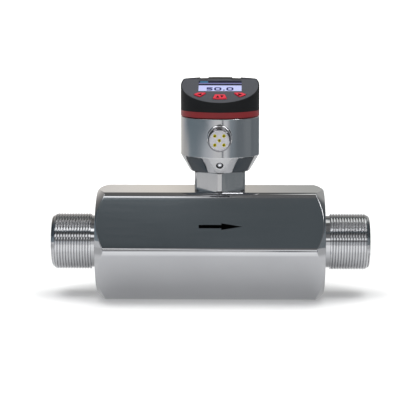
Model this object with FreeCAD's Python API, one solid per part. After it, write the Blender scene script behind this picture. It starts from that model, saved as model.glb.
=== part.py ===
# Turbine flow meter: hexagonal bar body with threaded ends, a helical rotor between two flow
# straighteners, and a swivelling steel head with a slanted display and three push buttons.
# Millimetres. Origin: centre of the body's bottom flat. +X is the flow direction, +Z is up,
# and the display and the electrical connector face -Y.
import FreeCAD, Part
import math
import os

# Hexagonal bar body
body_across_flats = 58.0
body_edge_radius = 4.6
body_length = 121.8
end_face_inset = 1.0
end_cone_angle = 45.0
stub_length = 24.6
thread_diameter = 30.0
relief_depth = 1.0
relief_length = 3.3
run_out_length = 1.0
thread_chamfer_length = 2.4
thread_chamfer_depth = 1.5

# Flow passage
rotor_position = 5.0
chamber_diameter = 20.0
chamber_half_length = 12.0
sleeve_wall = 1.0
sleeve_length = 24.0
mouth_chamfer = 0.8

# Rotor and shaft
rotor_length = 10.0
rotor_tip_gap = 0.4
rotor_side_gap = 0.5
hub_diameter = 8.0
blade_count = 5
blade_thickness = 0.9
blade_lead = 84.0
blade_sections = 5
shaft_diameter = 2.0
shaft_clearance = 0.03
shaft_end_gap = 0.4
bush_wall = 1.0
bush_length = 6.0

# Flow straighteners and their snap rings
vane_count = 6
vane_thickness = 0.8
vane_length = 12.0
nose_length = 9.0
nose_steps = 4
snap_ring_thickness = 1.2
snap_groove_depth = 0.8
snap_ring_width = 2.0
snap_ring_opening = 50.0

# Pickup in the port above the rotor
wall_over_chamber = 1.2
probe_tip_diameter = 14.0
probe_tip_length = 5.8
probe_tip_chamfer = 0.4
probe_stem_diameter = 9.6
probe_stem_length = 18.0
probe_cable_diameter = 4.0
probe_cable_length = 6.0
port_diameter = 22.0
seal_width = 1.4
seal_depth = 1.2

# Hexagonal neck
neck_across_flats = 27.0
neck_corner_cut = 0.6
neck_height = 10.2
neck_bottom_chamfer = 0.7
neck_top_chamfer = 0.4
neck_bore_diameter = 10.0
spigot_diameter = 20.0
spigot_end_length = 2.4
circlip_thickness = 1.2
circlip_groove_depth = 1.0
circlip_height = 1.4
circlip_opening = 40.0

# Running fits and gaps between parts that move
fit_clearance = 0.05
moving_gap = 0.3

# Steel head housing
head_diameter = 42.0
cone_base_diameter = 32.0
cone_height = 8.5
housing_height = 29.1
housing_wall = 2.4
housing_floor = 5.0
inner_cone_inset = 1.8
board_level = 11.2
board_ledge = 1.6
pocket_count = 4
pocket_foot_depth = 1.2
pocket_head_depth = 0.8
pocket_lip = 0.6
lead_in = 0.5
rim_chamfer = 0.4

# Vent screw on the front of the cone
vent_height = 4.2
vent_recess_diameter = 3.8
vent_recess_depth = 0.8
vent_head_diameter = 2.6
vent_head_height = 0.9
vent_stem_diameter = 1.8
vent_stem_length = 2.0

# Electrical connector
connector_height = 19.2
connector_diameter = 12.0
connector_reach = 12.0
flange_diameter = 13.3
flange_thickness = 1.1
spot_face_depth = 1.2
connector_wall = 0.9
connector_chamfer = 0.5
insert_recess = 0.3
insert_tail = 2.6
contact_spacing = 4.7
contact_diameter = 1.8
contact_bore_diameter = 1.0
contact_bore_depth = 5.0
contact_tail = 2.5
gasket_thickness = 0.5

# Boards
board_thickness = 1.6
board_edge_gap = 0.2
board_chip_height = 1.4
board_chip_size = 7.0
board_plug_size = 5.0
board_plug_height = 2.2

# Trim ring and display cap
trim_ring_height = 3.0
cap_front_height = 5.0
cap_rise = 10.8
face_tilt = 20.7
cap_wall = 2.0
cap_floor = 1.5
skirt_wall = 1.55
skirt_length = 3.9
bead_height = 0.8
bead_proud = 0.45
bead_offset = 0.35
cap_seal_height = 1.1
cap_seal_depth = 0.8
cap_seal_offset = 0.7
notch_width = 4.4
notch_depth = 0.45
notch_offset = 8.7

# Face plate, window and display
plate_thickness = 1.0
plate_rim = 0.6
plate_notch_depth = 0.8
cap_top_wall = 2.2
window_width = 23.0
window_height = 13.0
window_low_edge = 14.9
window_corner = 0.4
window_thickness = 0.25
window_recess = 0.05
module_margin = 0.8
module_depth = 2.9

# Push buttons
button_centre = 22.6
button_outer = 17.9
button_inner = 12.8
button_half_angle = 12.0
side_button_angle = 41.2
side_button_half_angle = 7.0
side_button_outer = 18.6
button_top_limit = 12.2
button_corner = 0.5
button_height = 0.5
button_edge_chamfer = 0.2
button_travel = 0.5
ear_reach = 0.8
ear_length = 2.0
ear_thickness = 0.8
button_stem_diameter = 2.4
switch_size = 3.6
switch_height = 1.5
plunger_diameter = 1.8
plunger_height = 0.8
display_board_low_edge = 3.5
display_board_edge_gap = 0.2

# Levels and radii worked out from the sizes above
flow_height = body_across_flats / 2
body_end = body_length / 2
stub_end = body_end + stub_length
thread_radius = thread_diameter / 2
relief_radius = thread_radius - relief_depth
chamber_radius = chamber_diameter / 2
bore_radius = chamber_radius + sleeve_wall
inlet_shoulder = rotor_position - chamber_half_length
outlet_shoulder = rotor_position + chamber_half_length
hub_radius = hub_diameter / 2
shaft_radius = shaft_diameter / 2
bush_radius = shaft_radius + shaft_clearance + bush_wall
bush_inner_radius = shaft_radius + shaft_clearance
hub_reach = chamber_half_length - rotor_length / 2 - rotor_side_gap
bush_seat_depth = bush_length + shaft_end_gap
shaft_length = rotor_length + 2 * (rotor_side_gap + bush_length)
port_floor = flow_height + chamber_radius + wall_over_chamber
port_shoulder = port_floor + probe_tip_length
probe_tip_radius = probe_tip_diameter / 2
port_radius = port_diameter / 2
neck_top = body_across_flats + neck_height
neck_corner_radius = neck_across_flats / math.sqrt(3) - neck_corner_cut
spigot_radius = spigot_diameter / 2
housing_bottom = neck_top + moving_gap
housing_top = housing_bottom + housing_height
floor_top = housing_bottom + housing_floor
cone_top = housing_bottom + cone_height
circlip_bottom = floor_top + moving_gap
spigot_top = circlip_bottom + circlip_thickness + spigot_end_length
head_radius = head_diameter / 2
cone_base_radius = cone_base_diameter / 2
cone_slope = math.degrees(math.atan2(head_radius - cone_base_radius, cone_height))
housing_bore = head_radius - housing_wall
skirt_radius = housing_bore - fit_clearance
skirt_inner = skirt_radius - skirt_wall
ring_bottom = housing_top + moving_gap
ring_top = ring_bottom + trim_ring_height
skirt_bottom = ring_bottom - skirt_length
cap_front = ring_top + cap_front_height
cap_top = cap_front + cap_rise
bead_bottom = skirt_bottom + bead_offset
cap_seal_bottom = bead_bottom + bead_height + cap_seal_offset
connector_level = housing_bottom + connector_height
connector_radius = connector_diameter / 2
insert_radius = connector_radius - connector_wall
spot_face = head_radius - spot_face_depth
flange_front = spot_face + gasket_thickness + flange_thickness
connector_front = flange_front + connector_reach
face_length = cap_rise / math.sin(math.radians(face_tilt))
plate_radius = head_radius - plate_rim
plate_top_edge = face_length - plate_rim
wall_depth = plate_thickness + cap_top_wall
board_depth = wall_depth + module_depth

origin = FreeCAD.Vector(0, 0, 0)
x_axis = FreeCAD.Vector(1, 0, 0)
y_axis = FreeCAD.Vector(0, 1, 0)
z_axis = FreeCAD.Vector(0, 0, 1)


# Solid of revolution about the Z axis from (radius, height) points
def turned(profile):
    points = [FreeCAD.Vector(radius, 0, height) for radius, height in profile]
    wire = Part.makePolygon(points + points[:1])
    return Part.Face(wire).revolve(origin, z_axis, 360)


# Ring of rectangular section about the Z axis
def ring(inner, outer, bottom, top):
    return turned([(inner, bottom), (outer, bottom), (outer, top), (inner, top)])


def cylinder(radius, bottom, top):
    return Part.makeCylinder(radius, top - bottom, FreeCAD.Vector(0, 0, bottom))


# Box centred on the Z axis in X and Y
def centred_box(width, depth, bottom, top):
    corner = FreeCAD.Vector(-width / 2, -depth / 2, bottom)
    return Part.makeBox(width, depth, top - bottom, corner)


# Hexagonal bar along Z with rounded corners, flats facing the X axis
def hexagonal_bar(across_flats, corner_radius, bottom, top):
    inner_reach = (across_flats / 2 - corner_radius) / math.cos(math.radians(30))
    corners = []
    for index in range(6):
        angle = math.radians(30 + 60 * index)
        corners.append(FreeCAD.Vector(inner_reach * math.cos(angle), inner_reach * math.sin(angle), bottom))
    face = Part.Face(Part.makePolygon(corners + corners[:1]))
    if corner_radius > 0:
        face = face.makeOffset2D(corner_radius)
    return face.extrude(FreeCAD.Vector(0, 0, top - bottom))


# A shape made along Z is laid along the flow axis, with its own Z as +X
def along_flow(shape):
    laid = shape.copy()
    rotation = FreeCAD.Rotation(y_axis, 90)
    base = FreeCAD.Vector(0, 0, flow_height)
    laid.Placement = FreeCAD.Placement(base, rotation).multiply(laid.Placement)
    return laid


def moved(shape, x=0.0, y=0.0, z=0.0):
    copy = shape.copy()
    copy.translate(FreeCAD.Vector(x, y, z))
    return copy


# A piece of the head is made about the Z axis and moved over the rotor
def over_rotor(shape):
    return moved(shape, x=rotor_position)


# Mirror of an inlet piece about the rotor's middle plane
def on_outlet_side(shape):
    return shape.mirror(FreeCAD.Vector(rotor_position, 0, 0), x_axis)


# A shape in face coordinates, where X runs across, Y up the slope from the front edge and
# Z out of the face, is laid on the slanted face of the head
def on_face(shape):
    laid = shape.copy()
    base = FreeCAD.Vector(0, -head_radius, cap_front)
    rotation = FreeCAD.Rotation(x_axis, face_tilt)
    laid.Placement = FreeCAD.Placement(base, rotation).multiply(laid.Placement)
    return laid


# A shape made along Z is turned so that its own Z points out of the head's front, at the
# connector's level
def out_of_front(shape):
    laid = shape.copy()
    rotation = FreeCAD.Rotation(x_axis, 90)
    base = FreeCAD.Vector(0, 0, connector_level)
    laid.Placement = FreeCAD.Placement(base, rotation).multiply(laid.Placement)
    return laid


# Snap ring: a flat ring with an opening at one side
def open_ring(inner, outer, bottom, top, opening):
    plain = ring(inner, outer, bottom, top)
    half_width = outer * math.tan(math.radians(opening / 2))
    points = [
        FreeCAD.Vector(0, 0, bottom),
        FreeCAD.Vector(2 * outer, -2 * half_width, bottom),
        FreeCAD.Vector(2 * outer, 2 * half_width, bottom),
        FreeCAD.Vector(0, 0, bottom),
    ]
    wedge = Part.Face(Part.makePolygon(points)).extrude(FreeCAD.Vector(0, 0, top - bottom))
    return plain.cut(wedge)


# Body bar: filleted hexagon, coned ends, threaded stubs with reliefs, flow bore and port
def make_meter_body():
    bar = hexagonal_bar(body_across_flats, body_edge_radius, -body_end, body_end)
    face_radius = body_across_flats / 2 - end_face_inset
    wide = body_across_flats
    cone_run = (wide - face_radius) / math.tan(math.radians(end_cone_angle))
    blank = turned([
        (0, -body_end),
        (face_radius, -body_end),
        (wide, -body_end + cone_run),
        (wide, body_end - cone_run),
        (face_radius, body_end),
        (0, body_end),
    ])
    bar = bar.common(blank)
    thread_start = body_end + relief_length
    stub = turned([
        (0, 0),
        (relief_radius, 0),
        (relief_radius, thread_start),
        (thread_radius, thread_start + run_out_length),
        (thread_radius, stub_end - thread_chamfer_length),
        (thread_radius - thread_chamfer_depth, stub_end),
        (0, stub_end),
    ])
    other_stub = stub.mirror(origin, z_axis)
    bar = bar.fuse([stub, other_stub]).removeSplitter()
    bar = bar.cut(make_flow_passage())
    bar = along_flow(bar)
    port = turned([
        (0, port_floor),
        (probe_tip_radius, port_floor),
        (probe_tip_radius, port_shoulder),
        (port_radius, port_shoulder),
        (port_radius, body_across_flats + 1),
        (0, body_across_flats + 1),
    ])
    return bar.cut(over_rotor(port))


# Flow passage along Z: mouths, bores, snap ring grooves and the rotor chamber
def make_flow_passage():
    groove_radius = bore_radius + snap_groove_depth
    inlet_groove = inlet_shoulder - sleeve_length
    outlet_groove = outlet_shoulder + sleeve_length
    mouth_radius = bore_radius + mouth_chamfer
    return turned([
        (0, -stub_end),
        (mouth_radius, -stub_end),
        (bore_radius, -stub_end + mouth_chamfer),
        (bore_radius, inlet_groove - snap_ring_thickness),
        (groove_radius, inlet_groove - snap_ring_thickness),
        (groove_radius, inlet_groove),
        (bore_radius, inlet_groove),
        (bore_radius, inlet_shoulder),
        (chamber_radius, inlet_shoulder),
        (chamber_radius, outlet_shoulder),
        (bore_radius, outlet_shoulder),
        (bore_radius, outlet_groove),
        (groove_radius, outlet_groove),
        (groove_radius, outlet_groove + snap_ring_thickness),
        (bore_radius, outlet_groove + snap_ring_thickness),
        (bore_radius, stub_end - mouth_chamfer),
        (mouth_radius, stub_end),
        (0, stub_end),
    ])


# Inlet straightener: outer sleeve, radial vanes, and a hub with a rounded nose that carries
# the bearing bush at its rotor end
def make_straightener():
    sleeve_start = inlet_shoulder - sleeve_length
    sleeve = ring(chamber_radius, bore_radius, sleeve_start, inlet_shoulder)
    hub_end = inlet_shoulder + hub_reach
    profile = [(0, sleeve_start)]
    for step in range(1, nose_steps + 1):
        angle = math.radians(90 * step / nose_steps)
        rise = nose_length * (1 - math.cos(angle))
        profile.append((hub_radius * math.sin(angle), sleeve_start + rise))
    hub = turned(profile + [(hub_radius, hub_end), (0, hub_end)])
    pieces = [sleeve]
    vane_reach = (chamber_radius + bore_radius) / 2
    for index in range(vane_count):
        corner = FreeCAD.Vector(0, -vane_thickness / 2, inlet_shoulder - vane_length)
        vane = Part.makeBox(vane_reach, vane_thickness, vane_length, corner)
        vane.rotate(origin, z_axis, 360 * index / vane_count)
        pieces.append(vane)
    body = hub.fuse(pieces).removeSplitter()
    seat = cylinder(bush_radius, hub_end - bush_seat_depth, hub_end)
    return along_flow(body.cut(seat))


def make_bearing_bush():
    bush_end = inlet_shoulder + hub_reach
    return along_flow(ring(bush_inner_radius, bush_radius, bush_end - bush_length, bush_end))


def make_snap_ring():
    groove_radius = bore_radius + snap_groove_depth
    ring_end = inlet_shoulder - sleeve_length
    ring_start = ring_end - snap_ring_thickness
    inner = groove_radius - snap_ring_width
    return along_flow(open_ring(inner, groove_radius, ring_start, ring_end, snap_ring_opening))


# One helical blade: a thin radial section carried along the axis as it turns with the lead
def make_blade():
    tip = chamber_radius - rotor_tip_gap
    root = hub_radius / 2
    half = blade_thickness / 2
    sections = []
    for index in range(blade_sections):
        travel = rotor_length * index / (blade_sections - 1)
        corners = [
            FreeCAD.Vector(root, -half, travel),
            FreeCAD.Vector(tip, -half, travel),
            FreeCAD.Vector(tip, half, travel),
            FreeCAD.Vector(root, half, travel),
        ]
        section = Part.makePolygon(corners + corners[:1])
        section.rotate(origin, z_axis, 360 * travel / blade_lead)
        sections.append(section)
    return Part.makeLoft(sections, True, False)


# Turbine rotor: hub with helical blades and a bore for the shaft
def make_rotor():
    hub = cylinder(hub_radius, 0, rotor_length)
    blade = make_blade()
    blades = []
    for index in range(blade_count):
        turned_blade = blade.copy()
        turned_blade.rotate(origin, z_axis, 360 * index / blade_count)
        blades.append(turned_blade)
    rotor = hub.fuse(blades)
    limit = cylinder(chamber_radius - rotor_tip_gap, 0, rotor_length)
    rotor = rotor.common(limit)
    rotor = rotor.cut(cylinder(shaft_radius, 0, rotor_length))
    return along_flow(moved(rotor, z=rotor_position - rotor_length / 2))


def make_rotor_shaft():
    half = shaft_length / 2
    return along_flow(cylinder(shaft_radius, rotor_position - half, rotor_position + half))


# Pickup probe: magnetic tip above the rotor, stem in the neck's bore and a cable tail
def make_pickup_probe():
    stem_top = port_shoulder + probe_stem_length
    body = turned([
        (0, port_floor),
        (probe_tip_radius - probe_tip_chamfer, port_floor),
        (probe_tip_radius, port_floor + probe_tip_chamfer),
        (probe_tip_radius, port_shoulder),
        (probe_stem_diameter / 2, port_shoulder),
        (probe_stem_diameter / 2, stem_top),
        (probe_cable_diameter / 2, stem_top),
        (probe_cable_diameter / 2, stem_top + probe_cable_length),
        (0, stem_top + probe_cable_length),
    ])
    return over_rotor(body.cut(make_pickup_seal_ring()))


def make_pickup_seal_ring():
    middle = (port_floor + port_shoulder) / 2
    inner = probe_tip_radius - seal_depth
    return ring(inner, probe_tip_radius, middle - seal_width / 2, middle + seal_width / 2)


# Neck: hexagon with turned corners, lower spigot in the body's port and an upper spigot that
# the head turns on
def make_neck():
    hexagon = hexagonal_bar(neck_across_flats, 0, body_across_flats, neck_top)
    blank = turned([
        (0, body_across_flats),
        (neck_corner_radius - neck_bottom_chamfer, body_across_flats),
        (neck_corner_radius, body_across_flats + neck_bottom_chamfer),
        (neck_corner_radius, neck_top - neck_top_chamfer),
        (neck_corner_radius - neck_top_chamfer, neck_top),
        (0, neck_top),
    ])
    hexagon = hexagon.common(blank)
    groove_radius = spigot_radius - circlip_groove_depth
    seal_bottom = (neck_top + floor_top - seal_width) / 2
    seal_inner = spigot_radius - seal_depth
    core = turned([
        (0, port_shoulder),
        (port_radius, port_shoulder),
        (port_radius, body_across_flats),
        (spigot_radius, body_across_flats),
        (spigot_radius, seal_bottom),
        (seal_inner, seal_bottom),
        (seal_inner, seal_bottom + seal_width),
        (spigot_radius, seal_bottom + seal_width),
        (spigot_radius, circlip_bottom),
        (groove_radius, circlip_bottom),
        (groove_radius, circlip_bottom + circlip_thickness),
        (spigot_radius, circlip_bottom + circlip_thickness),
        (spigot_radius, spigot_top - lead_in),
        (spigot_radius - lead_in, spigot_top),
        (0, spigot_top),
    ])
    neck = hexagon.fuse(core).removeSplitter()
    neck = neck.cut(cylinder(neck_bore_diameter / 2, port_shoulder, spigot_top))
    return over_rotor(neck)


def make_neck_seal():
    seal_bottom = (neck_top + floor_top - seal_width) / 2
    return over_rotor(ring(spigot_radius - seal_depth, spigot_radius, seal_bottom, seal_bottom + seal_width))


def make_neck_circlip():
    inner = spigot_radius - circlip_groove_depth
    top = circlip_bottom + circlip_thickness
    clip = open_ring(inner, spigot_radius + circlip_height, circlip_bottom, top, circlip_opening)
    clip.rotate(origin, z_axis, 90)
    return over_rotor(clip)


# Tool that mills one flat down the side of the cone, stopping short of the cone's top edge
def make_pocket_tool():
    run = cone_height / math.cos(math.radians(cone_slope))
    width = head_diameter
    corner = FreeCAD.Vector(-pocket_foot_depth, -width / 2, -run)
    tool = Part.makeBox(width, width, 2 * run - pocket_lip, corner)
    lean = math.degrees(math.atan2(pocket_foot_depth - pocket_head_depth, run))
    tool.rotate(origin, y_axis, cone_slope + lean)
    return moved(tool, x=cone_base_radius, z=housing_bottom)


# The vent's seat is at right angles to the cone's front line
def on_cone_front(shape):
    radius = cone_base_radius + vent_height * math.tan(math.radians(cone_slope))
    laid = shape.copy()
    rotation = FreeCAD.Rotation(x_axis, 90 + cone_slope)
    place = FreeCAD.Vector(0, -radius, housing_bottom + vent_height)
    laid.Placement = FreeCAD.Placement(place, rotation).multiply(laid.Placement)
    return laid


# Steel head: coned base with milled flats, cylindrical shell, board ledge and bead groove
def make_head_housing():
    outside = turned([
        (0, housing_bottom),
        (cone_base_radius, housing_bottom),
        (head_radius, cone_top),
        (head_radius, housing_top - rim_chamfer),
        (head_radius - rim_chamfer, housing_top),
        (0, housing_top),
    ])
    ledge = housing_bottom + board_level
    groove_radius = skirt_radius + bead_proud + moving_gap
    groove_bottom = bead_bottom - moving_gap
    groove_top = bead_bottom + bead_height + moving_gap
    inside = turned([
        (0, housing_bottom),
        (spigot_radius + fit_clearance, housing_bottom),
        (spigot_radius + fit_clearance, floor_top),
        (cone_base_radius - inner_cone_inset, floor_top),
        (housing_bore - board_ledge, ledge),
        (housing_bore, ledge),
        (housing_bore, groove_bottom),
        (groove_radius, groove_bottom),
        (groove_radius, groove_top),
        (housing_bore, groove_top),
        (housing_bore, housing_top),
        (0, housing_top),
    ])
    housing = outside.cut(inside)
    tool = make_pocket_tool()
    for index in range(pocket_count):
        cutter = tool.copy()
        cutter.rotate(origin, z_axis, 45 + 360 * index / pocket_count)
        housing = housing.cut(cutter)
    hole = cylinder(connector_radius, 0, head_diameter)
    seat = cylinder(flange_diameter / 2, spot_face, head_diameter)
    housing = housing.cut(out_of_front(hole.fuse(seat)))
    recess = cylinder(vent_recess_diameter / 2, -vent_recess_depth, vent_recess_depth)
    stem = cylinder(vent_stem_diameter / 2, -vent_recess_depth - vent_stem_length, 0)
    housing = housing.cut(on_cone_front(recess.fuse(stem)))
    return over_rotor(housing)


# Vent screw: stem in the cone with a low domed head in the recess
def make_vent_screw():
    rim_radius = vent_head_diameter / 2
    seat = -vent_recess_depth
    top = seat + vent_head_height
    sphere_radius = (rim_radius ** 2 + vent_head_height ** 2) / (2 * vent_head_height)
    centre = FreeCAD.Vector(0, 0, top - sphere_radius)
    dome = Part.makeSphere(sphere_radius, centre).common(cylinder(rim_radius, seat, top))
    stem = cylinder(vent_stem_diameter / 2, seat - vent_stem_length, seat)
    return over_rotor(on_cone_front(dome.fuse(stem).removeSplitter()))


# Connector shell: flange on the spot face, threaded barrel, bore for the insert
def make_connector_shell():
    flange_radius = flange_diameter / 2
    body = turned([
        (insert_radius, housing_bore),
        (connector_radius, housing_bore),
        (connector_radius, spot_face + gasket_thickness),
        (flange_radius, spot_face + gasket_thickness),
        (flange_radius, flange_front - lead_in),
        (flange_radius - lead_in, flange_front),
        (connector_radius, flange_front),
        (connector_radius, connector_front - connector_chamfer),
        (connector_radius - connector_chamfer, connector_front),
        (insert_radius, connector_front),
    ])
    return over_rotor(out_of_front(body))


def make_connector_gasket():
    gasket = ring(connector_radius, flange_diameter / 2, spot_face, spot_face + gasket_thickness)
    return over_rotor(out_of_front(gasket))


def contact_places():
    half = contact_spacing / 2
    return [(0, 0), (half, half), (-half, half), (-half, -half), (half, -half)]


def make_connector_insert():
    front = connector_front - insert_recess
    insert = cylinder(insert_radius, housing_bore - insert_tail, front)
    for across, along in contact_places():
        hole = cylinder(contact_diameter / 2, housing_bore - insert_tail, front)
        insert = insert.cut(moved(hole, x=across, y=along))
    return over_rotor(out_of_front(insert))


# Socket contacts: bored at the front, solid tails behind the insert
def make_connector_contacts():
    front = connector_front - insert_recess
    tail = housing_bore - insert_tail - contact_tail
    pin = cylinder(contact_diameter / 2, tail, front)
    pin = pin.cut(cylinder(contact_bore_diameter / 2, front - contact_bore_depth, front))
    pins = [moved(pin, x=across, y=along) for across, along in contact_places()]
    return over_rotor(out_of_front(Part.makeCompound(pins)))


# Round signal board on the housing's ledge, with chips and a plug for the pickup's cable
def make_main_board():
    bottom = housing_bottom + board_level
    top = bottom + board_thickness
    board = cylinder(housing_bore - board_edge_gap, bottom, top)
    chip = centred_box(board_chip_size, board_chip_size, top, top + board_chip_height)
    plug = centred_box(board_plug_size, board_plug_size, bottom - board_plug_height, bottom)
    pieces = [
        moved(chip, x=board_chip_size, y=board_chip_size),
        moved(chip, x=-board_chip_size, y=board_chip_size),
        plug,
    ]
    return over_rotor(board.fuse(pieces).removeSplitter())


def make_trim_ring():
    return over_rotor(ring(skirt_radius, head_radius, ring_bottom, ring_top))


# Everything above the slanted face, pushed in by a depth
def above_face(depth):
    reach = 4 * head_radius
    corner = FreeCAD.Vector(-reach / 2, -reach / 4, -depth)
    return on_face(Part.makeBox(reach, reach, reach, corner))


# The face plate's outline in plan, between two depths under the slanted face
def plate_slab(radius, top_depth, bottom_depth, low_edge, high_edge):
    corner = FreeCAD.Vector(-head_diameter, low_edge, -bottom_depth)
    slab = Part.makeBox(2 * head_diameter, high_edge - low_edge, bottom_depth - top_depth, corner)
    column = cylinder(radius, skirt_bottom, cap_top + head_radius)
    return on_face(slab).common(column)


# Rectangle with rounded corners on the face, grown by a margin, between two depths
def window_block(margin, bottom_depth, top_depth):
    width = window_width + 2 * margin - 2 * window_corner
    height = window_height + 2 * margin - 2 * window_corner
    middle = window_low_edge + window_height / 2
    corner = FreeCAD.Vector(-width / 2, middle - height / 2, -bottom_depth)
    face = Part.makePlane(width, height, corner)
    face = face.makeOffset2D(window_corner)
    return face.extrude(FreeCAD.Vector(0, 0, bottom_depth - top_depth))


# Outline of one button: a ring sector about a centre on the face, cut off below the window,
# with rounded corners and grown by a margin
def button_face(angle, half_angle, outer, margin):
    middle = math.radians(angle - 90)
    half = math.radians(half_angle)
    low_radius = button_inner + button_corner
    high_radius = outer - button_corner

    def place(radius, side):
        direction = middle + side * (half - math.asin(button_corner / radius))
        across = radius * math.cos(direction)
        return FreeCAD.Vector(across, button_centre + radius * math.sin(direction), 0)

    edges = [
        Part.makeLine(place(low_radius, -1), place(high_radius, -1)),
        Part.Arc(place(high_radius, -1), place(high_radius, 0), place(high_radius, 1)).toShape(),
        Part.makeLine(place(high_radius, 1), place(low_radius, 1)),
        Part.Arc(place(low_radius, 1), place(low_radius, 0), place(low_radius, -1)).toShape(),
    ]
    face = Part.Face(Part.Wire(edges))
    limit = FreeCAD.Vector(-head_radius, button_top_limit - button_corner, 0)
    face = face.cut(Part.makePlane(head_diameter, head_diameter, limit)).Faces[0]
    return face.makeOffset2D(button_corner + margin)


# Retaining ears at both sides of a button, grown by a margin
def ear_face(angle, half_angle, outer, margin):
    middle_radius = (button_inner + outer) / 2
    half_width = middle_radius * math.sin(math.radians(half_angle)) + ear_reach + margin
    half_length = ear_length / 2 + margin
    corner = FreeCAD.Vector(-half_width, -middle_radius - half_length, 0)
    face = Part.makePlane(2 * half_width, 2 * half_length, corner)
    face.rotate(origin, z_axis, angle)
    face.translate(FreeCAD.Vector(0, button_centre, 0))
    return face


# Name, angle about the buttons' centre, half angle and outer radius of each button
def button_rows():
    return [
        ("left_button", -side_button_angle, side_button_half_angle, side_button_outer),
        ("centre_button", 0.0, button_half_angle, button_outer),
        ("right_button", side_button_angle, side_button_half_angle, side_button_outer),
    ]


def button_stem_place(angle, outer):
    middle_radius = (button_inner + outer) / 2
    direction = math.radians(angle)
    return (middle_radius * math.sin(direction), button_centre - middle_radius * math.cos(direction))


# Push button: raised sector with softened top edges, ears under the plate and a stem
def make_button(angle, half_angle, outer):
    ears_top = -plate_thickness - moving_gap
    ears_bottom = ears_top - ear_thickness
    face = button_face(angle, half_angle, outer, 0)
    key = moved(face, z=ears_bottom).extrude(FreeCAD.Vector(0, 0, button_height - ears_bottom))
    top_edges = []
    for edge in key.Edges:
        if edge.BoundBox.ZMin > button_height - 0.001:
            top_edges.append(edge)
    key = key.makeChamfer(button_edge_chamfer, top_edges)
    ears = moved(ear_face(angle, half_angle, outer, 0), z=ears_bottom)
    ears = ears.extrude(FreeCAD.Vector(0, 0, ear_thickness))
    across, along = button_stem_place(angle, outer)
    stem_bottom = -board_depth + switch_height + plunger_height + button_travel + moving_gap
    stem = cylinder(button_stem_diameter / 2, stem_bottom, ears_bottom)
    key = key.fuse([ears, moved(stem, x=across, y=along)]).removeSplitter()
    return over_rotor(on_face(key))


# Shallow grooves across the flat top, from the chord where it meets the slanted face
def make_notch_tools():
    slope = math.tan(math.radians(face_tilt))
    chord = cap_rise / slope - head_radius
    notch_run = 2 * notch_depth / slope
    tools = []
    for side in (-1, 1):
        across = side * notch_offset - notch_width / 2
        corner = FreeCAD.Vector(across, chord - notch_run, cap_top - notch_depth)
        tools.append(Part.makeBox(notch_width, head_diameter, cap_rise, corner))
    return tools


# Cut-outs in the plate's top edge, in line with the grooves, that show the cap below
def make_plate_notch_tools():
    tools = []
    for side in (-1, 1):
        low_edge = plate_top_edge - plate_notch_depth
        corner = FreeCAD.Vector(side * notch_offset - notch_width / 2, low_edge, -2 * plate_thickness)
        tools.append(on_face(Part.makeBox(notch_width, head_radius, 4 * plate_thickness, corner)))
    return tools


# Display cap: cylinder cut by the slanted face, hollow below, with a skirt that turns in the
# housing, a retaining bead, a seal groove and seats for the plate, the display and the buttons
def make_display_cap():
    outside = cylinder(head_radius, ring_top, cap_top).cut(above_face(0))
    bead_radius = skirt_radius + bead_proud
    seal_inner = skirt_radius - cap_seal_depth
    cap_seal_top = cap_seal_bottom + cap_seal_height
    skirt = turned([
        (skirt_inner, skirt_bottom),
        (skirt_radius, skirt_bottom),
        (skirt_radius, bead_bottom),
        (bead_radius, bead_bottom),
        (skirt_radius, bead_bottom + bead_height),
        (skirt_radius, cap_seal_bottom),
        (seal_inner, cap_seal_bottom),
        (seal_inner, cap_seal_top),
        (skirt_radius, cap_seal_top),
        (skirt_radius, ring_top),
        (skirt_inner, ring_top),
    ])
    floor = ring_top + cap_floor
    inside = turned([
        (0, ring_top),
        (skirt_inner, ring_top),
        (skirt_inner, floor),
        (head_radius - cap_wall, floor),
        (head_radius - cap_wall, cap_top - cap_top_wall),
        (0, cap_top - cap_top_wall),
    ])
    inside = inside.cut(above_face(wall_depth))
    cap = outside.cut(inside).fuse(skirt).removeSplitter()
    cap = cap.cut(plate_slab(plate_radius, -head_radius, plate_thickness, -head_radius, plate_top_edge))
    cap = cap.cut(on_face(window_block(0, wall_depth, plate_thickness)))
    for name, angle, half_angle, outer in button_rows():
        hole = button_face(angle, half_angle, outer, moving_gap)
        ears = ear_face(angle, half_angle, outer, moving_gap)
        for face in (hole, ears):
            cutter = moved(face, z=-wall_depth).extrude(FreeCAD.Vector(0, 0, wall_depth))
            cap = cap.cut(on_face(cutter))
    for tool in make_notch_tools():
        cap = cap.cut(tool)
    return over_rotor(cap)


def make_cap_seal():
    top = cap_seal_bottom + cap_seal_height
    return over_rotor(ring(skirt_radius - cap_seal_depth, skirt_radius, cap_seal_bottom, top))


# Face plate with the window opening, the button openings and two notches in its top edge
def make_face_plate():
    plate = plate_slab(plate_radius, 0, plate_thickness, -head_radius, plate_top_edge)
    plate = plate.cut(on_face(window_block(0, plate_thickness, 0)))
    for name, angle, half_angle, outer in button_rows():
        face = moved(button_face(angle, half_angle, outer, moving_gap), z=-plate_thickness)
        plate = plate.cut(on_face(face.extrude(FreeCAD.Vector(0, 0, plate_thickness))))
    for tool in make_notch_tools() + make_plate_notch_tools():
        plate = plate.cut(tool)
    return over_rotor(plate)


def make_display_window():
    bottom = window_recess + window_thickness
    return over_rotor(on_face(window_block(0, bottom, window_recess)))


# Display module: glass cell that stands in the window on a frame that sits on the board
def make_display_module():
    cell = window_block(0, wall_depth, window_recess + window_thickness)
    frame = window_block(module_margin, board_depth, wall_depth)
    return over_rotor(on_face(cell.fuse(frame).removeSplitter()))


def make_display_board():
    high_edge = window_low_edge + window_height + module_margin
    radius = skirt_inner - display_board_edge_gap
    board = plate_slab(radius, board_depth, board_depth + board_thickness, display_board_low_edge, high_edge)
    return over_rotor(board)


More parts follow.
